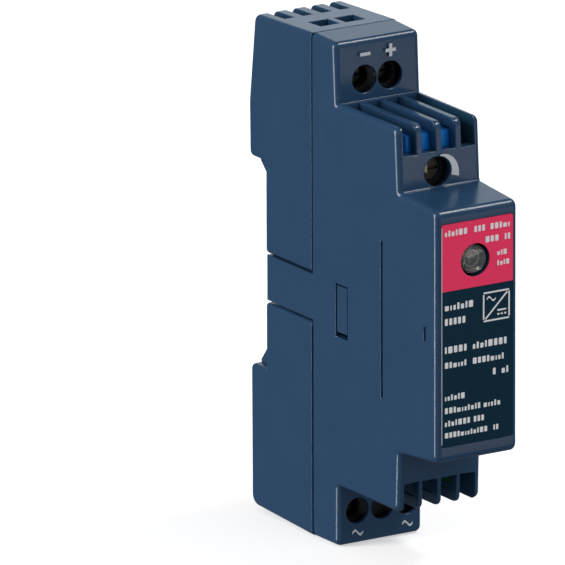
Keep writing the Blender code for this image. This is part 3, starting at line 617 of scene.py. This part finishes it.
def front_cover():
    """The front moulding: two terminal faces, two grilled steps, the block, and the band at the rear."""
    past_seam = 3.0
    outline = rounded([
        (past_seam, HALF_HEIGHT, 0),
        (SEAM_Y, HALF_HEIGHT, 0),
        (TERMINAL_Y + 0.6, TERMINAL_TOP_FRONT, 1.1),
        (TERMINAL_Y, GRILLE_TOP, 0.12),
        (GRILLE_Y + 0.7, GRILLE_TOP, 1.3),
        (GRILLE_Y, BLOCK_TOP + 0.85, 0.4),
        (FRONT_Y, BLOCK_TOP, 1.4),
        (FRONT_Y, BLOCK_BOTTOM, 1.4),
        (GRILLE_Y, BLOCK_BOTTOM - 1.1, 0.4),
        (GRILLE_Y + 0.4, -GRILLE_TOP - 0.2, 1.3),
        (TERMINAL_Y - 0.3, -GRILLE_TOP - 0.2, 0.4),
        (TERMINAL_Y - 0.2, -HALF_HEIGHT, 1.1),
        (SEAM_Y, -HALF_HEIGHT, 0),
        (past_seam, -HALF_HEIGHT, 0),
    ])
    grille_inner = GRILLE_Y + GRILLE_WALL
    terminal_inner = TERMINAL_Y + WALL
    hollow = [
        (past_seam + 1, HALF_HEIGHT - WALL - 0.1),
        (SEAM_Y, HALF_HEIGHT - WALL - 0.1),
        (terminal_inner + 0.3, HALF_HEIGHT - WALL - 0.4),
        (terminal_inner, GRILLE_TOP - GRILLE_WALL),
        (grille_inner + 0.5, GRILLE_TOP - GRILLE_WALL),
        (grille_inner, BLOCK_TOP - 0.6),
        (FRONT_Y + WALL + LABEL_RECESS, BLOCK_TOP - 1.4),
        (FRONT_Y + WALL + LABEL_RECESS, BLOCK_BOTTOM + 1.4),
        (grille_inner, BLOCK_BOTTOM + 0.5),
        (grille_inner + 0.3, -GRILLE_TOP + GRILLE_WALL - 0.2),
        (terminal_inner - 0.2, -GRILLE_TOP + GRILLE_WALL - 0.2),
        (terminal_inner - 0.1, -HALF_HEIGHT + WALL + 0.4),
        (SEAM_Y, -HALF_HEIGHT + WALL + 0.1),
        (past_seam + 1, -HALF_HEIGHT + WALL + 0.1),
    ]
    cover, skin = shell("cover", outline, hollow, RIM_RADIUS)
    seam, latch_seam = SEAM_Y - SEAM_GAP / 2, SEAM_Y - LATCH_SEAM_GAP / 2
    cut(
        cover,
        box("seam_above_band", ACROSS, (seam, BEHIND), (BAND_TOP, FAR)),
        box("seam_below_band", ACROSS, (latch_seam, BEHIND), (-FAR, BAND_BOTTOM)),
        box("band_end", ACROSS, (BAND_REAR_Y, BEHIND), (-FAR, FAR)),
        box("snap_windows", ACROSS, WINDOW_Y, WINDOW_Z),
        *flank_pair("flank_slit", SLIT_X, SLIT_Y, SLIT_Z),
        *flank_pockets(),
    )
    holes = [(*pole, OUTPUT_HOLE_RADIUS) for pole in OUTPUT_POLES]
    holes += [(*pole, INPUT_HOLE_RADIUS) for pole in (*INPUT_POLES, INPUT_SPARE)]
    behind_mouth = (TERMINAL_Y + MOUTH_WALL, TERMINAL_CUT_Y[1])
    for k, (x, z, radius) in enumerate(holes):
        cut(
            cover,
            rod(f"hole_{k}", (x, z), radius, TERMINAL_CUT_Y),
            rod(f"relief_{k}", (x, z), radius + HOLE_RELIEF, behind_mouth),
        )
    top_y, bottom_y = (GRILLE_CUT_Y[0], TOP_SLOT_END), (GRILLE_CUT_Y[0], BOTTOM_SLOT_END)
    cut(
        cover,
        *slot_row("slot_top", TOP_SLOT_PITCH, TOP_SLOT_WIDTH, top_y, TOP_SLOT_Z),
        *slot_row("slot_bottom", BOTTOM_SLOT_PITCH, BOTTOM_SLOT_WIDTH, bottom_y, BOTTOM_SLOT_Z),
    )
    trimmer = (TRIMMER_X, TRIMMER_Z)
    behind_trimmer_mouth = (GRILLE_Y + MOUTH_WALL, GRILLE_CUT_Y[1])
    label_outline = rounded_rectangle(
        (LABEL_LOW.x - LABEL_GAP, LABEL_HIGH.x + LABEL_GAP),
        (LABEL_LOW.z - LABEL_GAP, LABEL_HIGH.z + LABEL_GAP),
        LABEL_CORNER,
    )
    cut(
        cover,
        rod("hole_trimmer", trimmer, TRIMMER_HOLE_RADIUS, GRILLE_CUT_Y),
        rod("relief_trimmer", trimmer, TRIMMER_HOLE_RADIUS + TRIMMER_RELIEF, behind_trimmer_mouth),
        prism("label_recess", label_outline, (BLOCK_CUT_Y[0], FRONT_Y + LABEL_RECESS), "Y"),
        rod("hole_lamp", (LAMP_X, LAMP_Z), LAMP_HOLE_RADIUS, BLOCK_CUT_Y),
    )
    soften(cover, skin, CUT_RADIUS, cover_rounding)
    piece(finish_mesh(cover), "case", "case", replaces=["front_cover"])


def hook(name, sign, nose_z, back_z):
    """The rail hook behind one edge of the rail, with the ledge that the edge rests on."""
    root = sign * (SHOULDER + 0.7)
    outline = [
        (FLANGE_GAP, root),
        (FLANGE_GAP, sign * (nose_z + 0.3)),
        (FLANGE_GAP + 0.5, sign * nose_z),
        (FLANGE_GAP + 1.2, sign * (nose_z + 0.6)),
        (REAR_Y - 0.4, sign * back_z),
        (REAR_Y - 0.4, root),
    ]
    across = (-HOOK_HALF_WIDTH, HOOK_HALF_WIDTH)
    ledge = (sign * RAIL_EDGE, root)
    return [
        prism(name + "_lip", outline, across),
        box(name + "_ledge", across, (-0.6, FLANGE_GAP + 0.3), ledge),
    ]


def rear_base():
    """The upper rear moulding: rail hook, snap arms, spring anchor, wire entries and rear vents."""
    bottom = BAND_TOP + BAND_GAP
    outline = rounded([
        (AHEAD, HALF_HEIGHT, 0),
        (SEAM_Y, HALF_HEIGHT, 0),
        (REAR_Y - 1.8, HALF_HEIGHT - 0.7, 1.6),
        (REAR_Y + 0.15, 28.6, 0),
        (REAR_Y, SHOULDER, 1.1),
        (0, SHOULDER, 0.3),
        (0, bottom, 0),
        (AHEAD, bottom, 0),
    ])
    hollow = [
        (AHEAD - 1, HALF_HEIGHT - WALL - 0.1),
        (REAR_Y - 3.1, HALF_HEIGHT - WALL - 0.7),
        (REAR_Y - WALL, 28.6),
        (REAR_Y - WALL - 0.1, SHOULDER + 1.5),
        (-WALL, SHOULDER + 1.5),
        (-WALL, bottom - 2),
        (AHEAD - 1, bottom - 2),
    ]
    base, skin = shell("base", outline, hollow, REAR_RIM_RADIUS)
    seam = SEAM_Y + SEAM_GAP / 2
    cut(base, box("base_seam", ACROSS, (AHEAD - 5, seam), (-FAR, FAR)))
    inner = (6.15, 7.15)
    nose_y = (WINDOW_Y[0] + 0.25, WINDOW_Y[1] - 0.25)
    nose_z = (WINDOW_Z[0] + 0.9, WINDOW_Z[1] - 0.3)
    join(
        base,
        box("seat_floor", (-7.1, 7.1), (-WALL + 0.1, -0.1), (BAND_BOTTOM + 0.1, bottom + 1)),
        *hook("base_hook", 1, 14.9, 17.6),
        *flank_pair("snap_arm", inner, (WINDOW_Y[0] + 0.3, -0.6), (BAND_BOTTOM + 0.2, 1.8)),
        *flank_pair("arm_root", (inner[0], 7.9), (seam + 0.4, -0.6), (bottom + 0.3, 12)),
        *flank_pair("arm_web", inner, (seam + 0.4, -0.6), (1.2, bottom + 1)),
        *flank_pair("snap_nose", (inner[0], 8.5), nose_y, nose_z),
        *laps("base_lap", seam, BASE_LAP_Z),
        box("spring_anchor", SPRING_POST_X, SPRING_POST_Y, (-4.4, -2.6)),
    )
    cut(
        base,
        *wire_entries(OUTPUT_POLES, ROOF_CUT_Z),
        *slot_row("rear_slot", REAR_SLOT_PITCH, REAR_SLOT_WIDTH, (-3.4, 8), (36, 48)),
        box("seat_relief", ACROSS, (-0.3, 0.8), (13.6, 14.1)),
    )
    soften(base, skin, REAR_CUT_RADIUS)
    piece(finish_mesh(base), "case", "case", replaces=["rear_base"])


def rail_latch():
    """The lower rear moulding, which slides: rail hook, spring hook, wire entries and floor vents."""
    outline = rounded([
        (AHEAD, LATCH_TOP, 0),
        (0, LATCH_TOP, 0),
        (0, -SHOULDER, 0.3),
        (REAR_Y - 0.2, -SHOULDER, 1.1),
        (REAR_Y - 0.3, -HALF_HEIGHT + 0.95, 2.0),
        (SEAM_Y, -HALF_HEIGHT, 0),
        (AHEAD, -HALF_HEIGHT, 0),
    ])
    hollow = [
        (AHEAD - 1, LATCH_TOP + 2),
        (-WALL, LATCH_TOP + 2),
        (-WALL, -SHOULDER - 1.5),
        (REAR_Y - 0.2 - WALL, -SHOULDER - 1.5),
        (REAR_Y - 0.3 - WALL, -HALF_HEIGHT + 2.35),
        (SEAM_Y, -HALF_HEIGHT + WALL + 0.1),
        (AHEAD - 1, -HALF_HEIGHT + WALL + 0.1),
    ]
    latch, skin = shell("latch", outline, hollow, REAR_RIM_RADIUS)
    seam = SEAM_Y + LATCH_SEAM_GAP / 2
    cut(latch, box("latch_seam", ACROSS, (AHEAD - 5, seam), (-FAR, FAR)))
    join(
        latch,
        *hook("latch_hook", -1, 15.1, 18.4),
        *laps("latch_lap", seam, LATCH_LAP_Z),
        box("spring_hook", SPRING_POST_X, SPRING_POST_Y, (-19.6, -17.8)),
    )
    cut(
        latch,
        *wire_entries((*INPUT_POLES, INPUT_SPARE), FLOOR_CUT_Z),
        *slot_row("floor_slot", REAR_SLOT_PITCH, REAR_SLOT_WIDTH, (-5.6, -1.4), FLOOR_CUT_Z),
        box("release_slot", (-3.2, 3.2), (0.2, 2.2), FLOOR_CUT_Z),
    )
    soften(latch, skin, REAR_CUT_RADIUS)
    piece(finish_mesh(latch), "latch", "case", replaces=["rail_latch"])


# ---------------------------------------------------------------- label and prints


def front_label():
    """The label with its hole for the lamp, and a pale strip along its left side that is a painted
    highlight.
    """
    outline = rounded_rectangle(
        (LABEL_LOW.x, LABEL_HIGH.x), (LABEL_LOW.z, LABEL_HIGH.z), LABEL_CORNER - LABEL_GAP
    )
    label = prism("label", outline, (LABEL_LOW.y, LABEL_HIGH.y), "Y")
    cut(label, rod("label_hole", (LAMP_X, LAMP_Z), LAMP_HOLE_RADIUS, BLOCK_CUT_Y))
    piece(finish_mesh(label), "case", "label", replaces=["front_label"])
    # a pale strip on the label's left edge only: painted highlight
    edge = box(
        "label_edge_highlight",
        (LABEL_LOW.x, LABEL_LOW.x + 0.14),
        (LABEL_LOW.y - PRINT_PROUD, LABEL_LOW.y + 0.1),
        (LABEL_LOW.z + LABEL_CORNER, LABEL_HIGH.z - LABEL_CORNER),
    )
    piece(finish_mesh(edge), "case", "label", "ink")


def printed(name, outlines, y, slot="case", material="ink"):
    """Flat printed shapes on a surface that faces the front at y."""
    made = prisms(name, outlines, (y - PRINT_PROUD, y + PRINT_SUNK), "Y")
    return piece(finish_mesh(made), "case", slot, material)


def stroke(start, end, width):
    """A straight stroke with square ends, between two points."""
    start, end = Vector(start), Vector(end)
    side = (end - start).orthogonal().normalized() * width / 2
    return [tuple(p) for p in (start - side, end - side, end + side, start + side)]


def wave(centre, length, height, width, steps=14):
    """One period of a sine, as a band: the sign for alternating current."""
    upper, lower = [], []
    for k in range(steps + 1):
        share = k / steps
        x = centre[0] + (share - 0.5) * length
        z = centre[1] + math.sin(2 * math.pi * share) * height / 2
        upper.append((x, z + width / 2))
        lower.append((x, z - width / 2))
    return lower + upper[::-1]


def mock_word(x, z, height, seed):
    """Blocks as wide and as tall as letters, which stand for a word without spelling one."""
    left, right = x
    gap, narrowest, corner = 0.2 * height, 0.25 * height, 0.08 * height
    bottom, tall, short = z - height * 0.38, height * 0.42, height * 0.2
    blocks = []
    while right - left > narrowest:
        seed = (seed * 7 + 3) % 11    # steps through 0 to 10, so that widths and heights vary
        width = min((0.22 + 0.035 * seed) * height, right - left)
        top = z + (tall if seed % 3 else short)
        blocks.append(rounded_rectangle((left, left + width), (bottom, top), corner, steps=2))
        left += width + gap
    return blocks


def label_print():
    """Rows of blocks: the middle's Z, the letters' height, and where each word starts and ends in X."""
    rows = [
        (18.1, 1.35, [(-6.6, -1.6), (-0.6, 1.9), (2.7, 6.7)]),
        (15.9, 1.35, [(1.7, 4.9), (5.6, 6.7)]),
        (13.2, 1.15, [(4.1, 6.3)]),
        (11.4, 1.15, [(4.1, 6.5)]),
        (5.0, 1.5, [(-6.6, -0.6)]),
        (2.4, 1.5, [(-6.6, -2.2)]),
        (-2.6, 1.5, [(-6.6, -1.9), (-0.9, 6.6)]),
        (-5.3, 1.35, [(-6.6, -1.7), (-0.9, 5.9)]),
        (-7.8, 1.5, [(3.2, 4.2), (5.0, 6.7)]),
        (-11.1, 1.3, [(-6.6, -2.3)]),
        (-13.4, 1.3, [(-6.6, 0.6), (1.3, 4.8)]),
        (-15.7, 1.3, [(-6.6, -1.5), (-0.7, 1.4)]),
        (-17.8, 1.2, [(-6.6, 2.5), (3.3, 4.3)]),
    ]
    for k, (z, height, words) in enumerate(rows):
        blocks = []
        for seed, x in enumerate(words):
            blocks += mock_word(x, z, height, k + 5 * seed)
        printed(f"label_print_{k}", blocks, LABEL_LOW.y, "label", "white_ink")


def converter_sign():
    """The general sign for a converter: a square with a diagonal, alternating in and direct out."""
    left, right, low, high, line = 1.3, 6.5, 1.4, 6.4, 0.3
    inset = line + 0.05
    square = [
        stroke((left, low), (right, low), line),
        stroke((left, high), (right, high), line),
        stroke((left, low + line), (left, high - line), line),
        stroke((right, low + line), (right, high - line), line),
    ]
    diagonal = stroke((left + inset, low + inset), (right - inset, high - inset), line)
    dashes = [stroke((x, 2.3), (x + 0.42, 2.3), line) for x in (4.1, 4.8, 5.5)]
    direct = [stroke((4.1, 3.0), (5.9, 3.0), line), *dashes]
    alternating = wave((2.85, 5.25), length=1.8, height=0.75, width=line)
    strokes = [*square, diagonal, *direct, alternating]
    printed("converter_sign", strokes, LABEL_LOW.y, "label", "white_ink")


def terminal_marks():
    """Minus and plus over the output screws, and the alternating sign at the input screws."""
    upper_y, lower_y = TERMINAL_Y - 0.05, TERMINAL_Y - 0.24    # just ahead of the faces, which lean
    half, line, rise, input_z = 1.05, 0.6, 4.5, -43.2
    (minus_x, z), (plus_x, _) = OUTPUT_POLES
    z += rise
    minus = rounded_rectangle(
        (minus_x - half, minus_x + half), (z - line / 2, z + line / 2), 0.12, steps=3
    )
    printed("mark_minus", [minus], upper_y)
    arm, end, corner = line / 2, half + 0.1, 0.1
    plus = [
        (-arm, -end, corner), (arm, -end, corner), (arm, -arm, 0),
        (half, -arm, corner), (half, arm, corner), (arm, arm, 0),
        (arm, end, corner), (-arm, end, corner), (-arm, arm, 0),
        (-half, arm, corner), (-half, -arm, corner), (-arm, -arm, 0),
    ]
    plus = rounded([(plus_x + a, z + b, radius) for a, b, radius in plus], steps=3)
    printed("mark_plus", [plus], upper_y)
    for name, (x, _) in zip(("n", "l"), INPUT_POLES):
        alternating = wave((x, input_z), length=2.2, height=0.85, width=0.42)
        printed(f"mark_input_{name}", [alternating], lower_y)


def trimmer_mark():
    """A wedge that widens clockwise round the right of the trimmer's hole."""
    inner, steps = TRIMMER_HOLE_RADIUS + 0.22, 24
    narrow, growth, curve = 0.12, 1.5, 0.8
    first, last = math.radians(82), math.radians(-17)
    rim, edge = [], []
    for k in range(steps + 1):
        angle = first + (last - first) * k / steps
        outer = inner + narrow + growth * (k / steps) ** curve
        for points, radius in ((rim, inner), (edge, outer)):
            points.append((TRIMMER_X + radius * math.cos(angle), TRIMMER_Z + radius * math.sin(angle)))
    printed("mark_trimmer", [rim + edge[::-1]], GRILLE_Y - 0.01)


# ---------------------------------------------------------------- lamp and trimmer


def turned(name, profile, centre, front, steps=48):
    """A profile of (radius, depth) turned about a line along Y; depth runs back from front."""
    bm = bmesh.new()
    x, z = centre
    verts = [bm.verts.new(((x + r) * MM, (front + depth) * MM, z * MM)) for r, depth in profile]
    edges = [bm.edges.new(pair) for pair in zip(verts, verts[1:])]
    axis_point = Vector((x, front, z)) * MM
    bmesh.ops.spin(bm, geom=verts + edges, cent=axis_point, axis=(0, 1, 0), angle=2 * math.pi, steps=steps)
    bmesh.ops.remove_doubles(bm, verts=bm.verts, dist=1e-6)
    return new_object(name, bm)


def indicator_lamp():
    """A clear lamp with a nearly flat front and a rounded rim, and the cup that shows through it."""
    centre, tip = (LAMP_X, LAMP_Z), LAMP_LOW.y
    crown, rim, steps = 0.12, 0.4, 6
    length = LAMP_HIGH.y - tip
    flange_radius, flange_front = LAMP_HIGH.x - LAMP_X, length - 1
    edge = [
        (LAMP_RADIUS - rim + rim * math.sin(a), crown + rim * (1 - math.cos(a)))
        for a in (math.pi / 2 * k / steps for k in range(steps + 1))
    ]
    profile = [
        (0, 0), (1.0, 0.03), *edge,
        (LAMP_RADIUS, flange_front), (flange_radius, flange_front), (flange_radius, length), (0, length),
    ]
    lens = turned("lamp_lens", profile, centre, tip)
    piece(finish_mesh(lens, sharp=30), "case", "lens", replaces=["indicator_lamp"])
    cup_depth = 1.9
    cup_profile = [(0, 1.0), (0.4, 0.9), (1.3, 0), (1.5, 0), (1.5, 1.3), (0.7, 1.8), (0.7, 3.6), (0, 3.6)]
    cup = turned("lamp_cup", cup_profile, centre, tip + cup_depth, steps=32)
    piece(finish_mesh(cup), "case", "tin", "lamp_metal")


def trimmer_front():
    """A black plate round the rotor, painted shade for the inside of the trimmer's hole, and the rotor's
    pointer.
    """
    front = ROTOR_LOW.y - 0.1
    reach, reach_up, hole_radius = 4.2, 3.3, 2.0
    outline = rounded_rectangle(
        (TRIMMER_X - reach, TRIMMER_X + reach), (TRIMMER_Z - reach, TRIMMER_Z + reach_up), 0.6
    )
    # a black plate behind the hole's mouth stands in for the shade inside the hole: painted shade
    plate = prism("trimmer_shade_plate", outline, (front - 0.35, front - 0.02), "Y")
    cut(plate, rod("plate_hole", (TRIMMER_X, TRIMMER_Z), hole_radius, (front - 2, front + 2)))
    piece(finish_mesh(round_edges(plate, 0.08)), "case", "trimmer", "trimmer_shade")
    tip, tail, half, corner = TRIMMER_X - 1.7, TRIMMER_X - 0.45, 0.85, 0.1
    arrow = rounded([
        (tip, TRIMMER_Z, corner),
        (tail, TRIMMER_Z - half, corner),
        (tail, TRIMMER_Z + half, corner),
    ], steps=3)
    pointer = prism("rotor_pointer", arrow, (ROTOR_LOW.y - 0.22, ROTOR_LOW.y + 0.1), "Y")
    piece(finish_mesh(round_edges(pointer, 0.05)), "trimmer", "rotor", "pointer")


# ---------------------------------------------------------------- the rest of the CAD nodes


def carried_over():
    """CAD nodes whose shape stays get the procedural material of their slot."""
    slots = {entry["node"]: entry["material_slot"] for entry in frame["record"]["subparts"]}
    replaced = {"front_cover", "rear_base", "rail_latch", "front_label", "indicator_lamp"}
    for name, node in frame["nodes"].items():
        if name in replaced:
            continue
        # the screws take the darker screw metal instead of their slot's: painted shade for their holes
        finish = "screw" if "_screw_" in name else slots[name]
        node.data.materials.clear()
        node.data.materials.append(MATERIALS[finish])


# ---------------------------------------------------------------- stage


def stage():
    """A white floor just below the part. It neither shows in reflections nor lights the part."""
    bpy.ops.mesh.primitive_plane_add(size=6, location=(0, 0, (-HALF_HEIGHT - FLOOR_GAP) * MM))
    floor = bpy.context.object
    floor.name = "floor"
    floor.visible_glossy = False
    floor.visible_diffuse = False
    paper = Finish("pale_floor")
    paper.colour((0.92, 0.92, 0.92), (0.94, 0.94, 0.94), 300)
    paper.roughness(0.7, 0.8, 40)
    paper.set(Emission_Color=(1, 1, 1, 1), Emission_Strength=0.47, Specular_IOR_Level=0)
    floor.data.materials.append(paper.material)


def softbox(
    name, azimuth, elevation, distance, size, radiance, colour=(1, 1, 1), diffuse=True, glossy=True
):
    """A softbox facing the part; azimuth turns from +X towards +Y, and lengths are metres."""
    lamp = bpy.data.lights.new(name, "AREA")
    lamp.shape = "RECTANGLE"
    lamp.size, lamp.size_y = size
    lamp.energy = radiance * size[0] * size[1] * math.pi
    lamp.color = colour
    made = bpy.data.objects.new(name, lamp)
    SCENE.objects.link(made)
    a, e = math.radians(azimuth), math.radians(elevation)
    made.location = distance * Vector((math.cos(a) * math.cos(e), math.sin(a) * math.cos(e), math.sin(e)))
    made.rotation_euler = (-made.location).to_track_quat("-Z", "Y").to_euler()
    made.visible_camera = False
    made.visible_diffuse = diffuse
    made.visible_glossy = glossy
    return made


def studio():
    """An even white surround for light and background, which reflections see as dark."""
    world = bpy.data.worlds.new("studio")
    bpy.context.scene.world = world
    world.use_nodes = True
    nodes, links = world.node_tree.nodes, world.node_tree.links
    output = nodes["World Output"]
    surround = nodes["Background"]
    surround.inputs["Strength"].default_value = 0.28
    surround.inputs["Color"].default_value = (1, 1, 1, 1)
    backdrop = nodes.new("ShaderNodeBackground")
    backdrop.inputs["Color"].default_value = (1, 1, 1, 1)
    dark = nodes.new("ShaderNodeBackground")
    dark.inputs["Color"].default_value = (0.10, 0.13, 0.17, 1)
    path = nodes.new("ShaderNodeLightPath")
    behind, reflected = nodes.new("ShaderNodeMixShader"), nodes.new("ShaderNodeMixShader")
    links.new(path.outputs["Is Camera Ray"], behind.inputs["Fac"])
    links.new(surround.outputs[0], behind.inputs[1])
    links.new(backdrop.outputs[0], behind.inputs[2])
    links.new(path.outputs["Is Glossy Ray"], reflected.inputs["Fac"])
    links.new(behind.outputs[0], reflected.inputs[1])
    links.new(dark.outputs[0], reflected.inputs[2])
    links.new(reflected.outputs[0], output.inputs["Surface"])


def floor_card(name, x, y, radiance, colour):
    """A pale sheet lying in front on the right, which only the reflections see."""
    size = (abs(x[1] - x[0]) * MM, abs(y[1] - y[0]) * MM)
    card = softbox(name, 0, 0, 1, size, radiance, colour, diffuse=False)
    card.location = Vector((sum(x) / 2, sum(y) / 2, -HALF_HEIGHT + 0.5)) * MM
    card.rotation_euler = (math.pi, 0, 0)


def lights():
    """A key on the left, a small box overhead, an unreflected fill, and three that only reflect."""
    studio()
    softbox("key_left", 165, 8, 1.2, (0.5, 1.4), 9.5)
    softbox("overhead", 326, 58, 1.1, (0.5, 0.2), 14.0)
    softbox("front_fill", 285, 12, 1.4, (1.0, 1.0), 1.8, glossy=False)
    softbox("back_right", 58, 18, 1.6, (1.8, 0.9), 0.78, (0.88, 0.97, 1.0), diffuse=False)
    floor_card("near_card", (15, 85), (-165, -112), 0.9, (1.0, 0.74, 0.62))
    floor_card("far_card", (100, 260), (-480, -290), 1.8, (1.0, 0.86, 0.80))


# Camera: a long lens from the left and a little above
AZIMUTH, ELEVATION, ROLL = math.radians(-32.33), math.radians(16.02), math.radians(0.18)
AIM = Vector((0, -25, 0))
DISTANCE, VIEW_WIDTH = 2688, 97.56
AIM_RIGHT, AIM_UP = 17.76, -1.49      # how far the aim lies off the middle of the view


def camera():
    """The view from DISTANCE, VIEW_WIDTH wide at the aim, turned by ROLL about its middle."""
    lens = bpy.data.cameras.new("camera")
    lens.sensor_width = 36
    lens.lens = lens.sensor_width * DISTANCE / VIEW_WIDTH
    lens.clip_end = 20
    made = bpy.data.objects.new("camera", lens)
    SCENE.objects.link(made)
    ahead = Vector((
        -math.sin(AZIMUTH) * math.cos(ELEVATION),
        math.cos(AZIMUTH) * math.cos(ELEVATION),
        -math.sin(ELEVATION),
    ))
    level = Vector((math.cos(AZIMUTH), math.sin(AZIMUTH), 0))
    above = level.cross(ahead)
    right = level * math.cos(ROLL) - above * math.sin(ROLL)
    up = level * math.sin(ROLL) + above * math.cos(ROLL)
    made.location = (AIM - AIM_RIGHT * right - AIM_UP * up - DISTANCE * ahead) * MM
    made.rotation_euler = Matrix((right, up, -ahead)).transposed().to_euler()
    bpy.context.scene.camera = made
    bpy.context.scene.view_settings.view_transform = "Standard"


camera()
front_cover()
rear_base()
rail_latch()
front_label()
label_print()
converter_sign()
terminal_marks()
trimmer_mark()
indicator_lamp()
trimmer_front()
carried_over()
stage()
lights()
